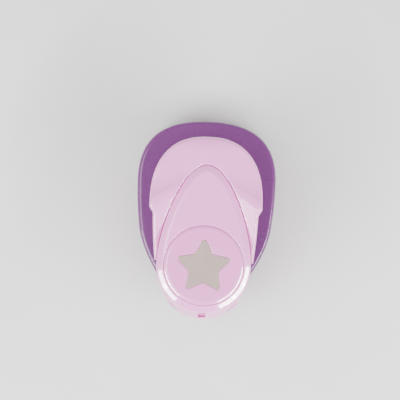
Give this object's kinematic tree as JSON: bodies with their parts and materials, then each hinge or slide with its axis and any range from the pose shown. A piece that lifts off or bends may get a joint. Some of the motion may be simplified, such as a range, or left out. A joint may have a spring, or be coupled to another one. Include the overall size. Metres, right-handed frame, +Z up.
{
  "type": "craft punch",
  "caption": "Hand craft punch with a thumb lever hinged at the front, which presses a star-shaped ram through a die in a flat base.",
  "frame": {"origin": "middle of the object's bounding box in plan, at the level that the base rests on", "axes": "+Z up along the ram's slide, +Y from the paper slot at the front to the thumb end at the rear, +X along the hinge pin"},
  "size_m": [0.0442, 0.063, 0.036],
  "materials": {
    "purple_plastic": "smooth moulded",
    "cover_plastic": "fine texture",
    "pink_plastic": "satin moulded",
    "badge_plastic": "satin moulded",
    "silver_inlay": "satin metallic",
    "tool_steel": "ground",
    "zinc_casting": "as cast",
    "bright_steel": "polished",
    "spring_steel": "drawn wire"
  },
  "bodies": {
    "base": {"base_shell": "purple_plastic", "base_cover": "cover_plastic", "cover_screws": "bright_steel", "die_plate": "tool_steel", "throat_spacer": "tool_steel", "guide_block": "zinc_casting", "die_screws": "bright_steel", "dowel_pins": "bright_steel", "bed_screws": "bright_steel", "hinge_pin": "bright_steel", "spring_washer": "bright_steel", "return_spring": "spring_steel"},
    "ram": {"punch_ram": "tool_steel", "ram_cap": "tool_steel", "ram_screw": "bright_steel"},
    "lever": {"front_hood": "pink_plastic", "thumb_lever": "pink_plastic", "stiffener_plate": "tool_steel", "stiffener_screws": "bright_steel", "press_pad": "tool_steel", "badge_disc": "badge_plastic", "star_inlay": "silver_inlay"}
  },
  "joints": [
    {"name": "lever_hinge", "type": "hinge", "parent": "base", "child": "lever", "pos_m": [0, -0.02685, 0.0202], "axis": [-1, 0, 0], "range_deg": [0, 15], "stiffness_Nm_per_rad": 1.2, "springref_deg": -5.73},
    {"name": "ram_slide", "type": "slide", "parent": "base", "child": "ram", "axis": [0, 0, -1], "range_m": [0, 0.00334], "deforming": ["return_spring"]}
  ],
  "couplings": [
    {"joint": "ram_slide", "follows": "lever_hinge", "m_per_rad": 0.012692}
  ]
}
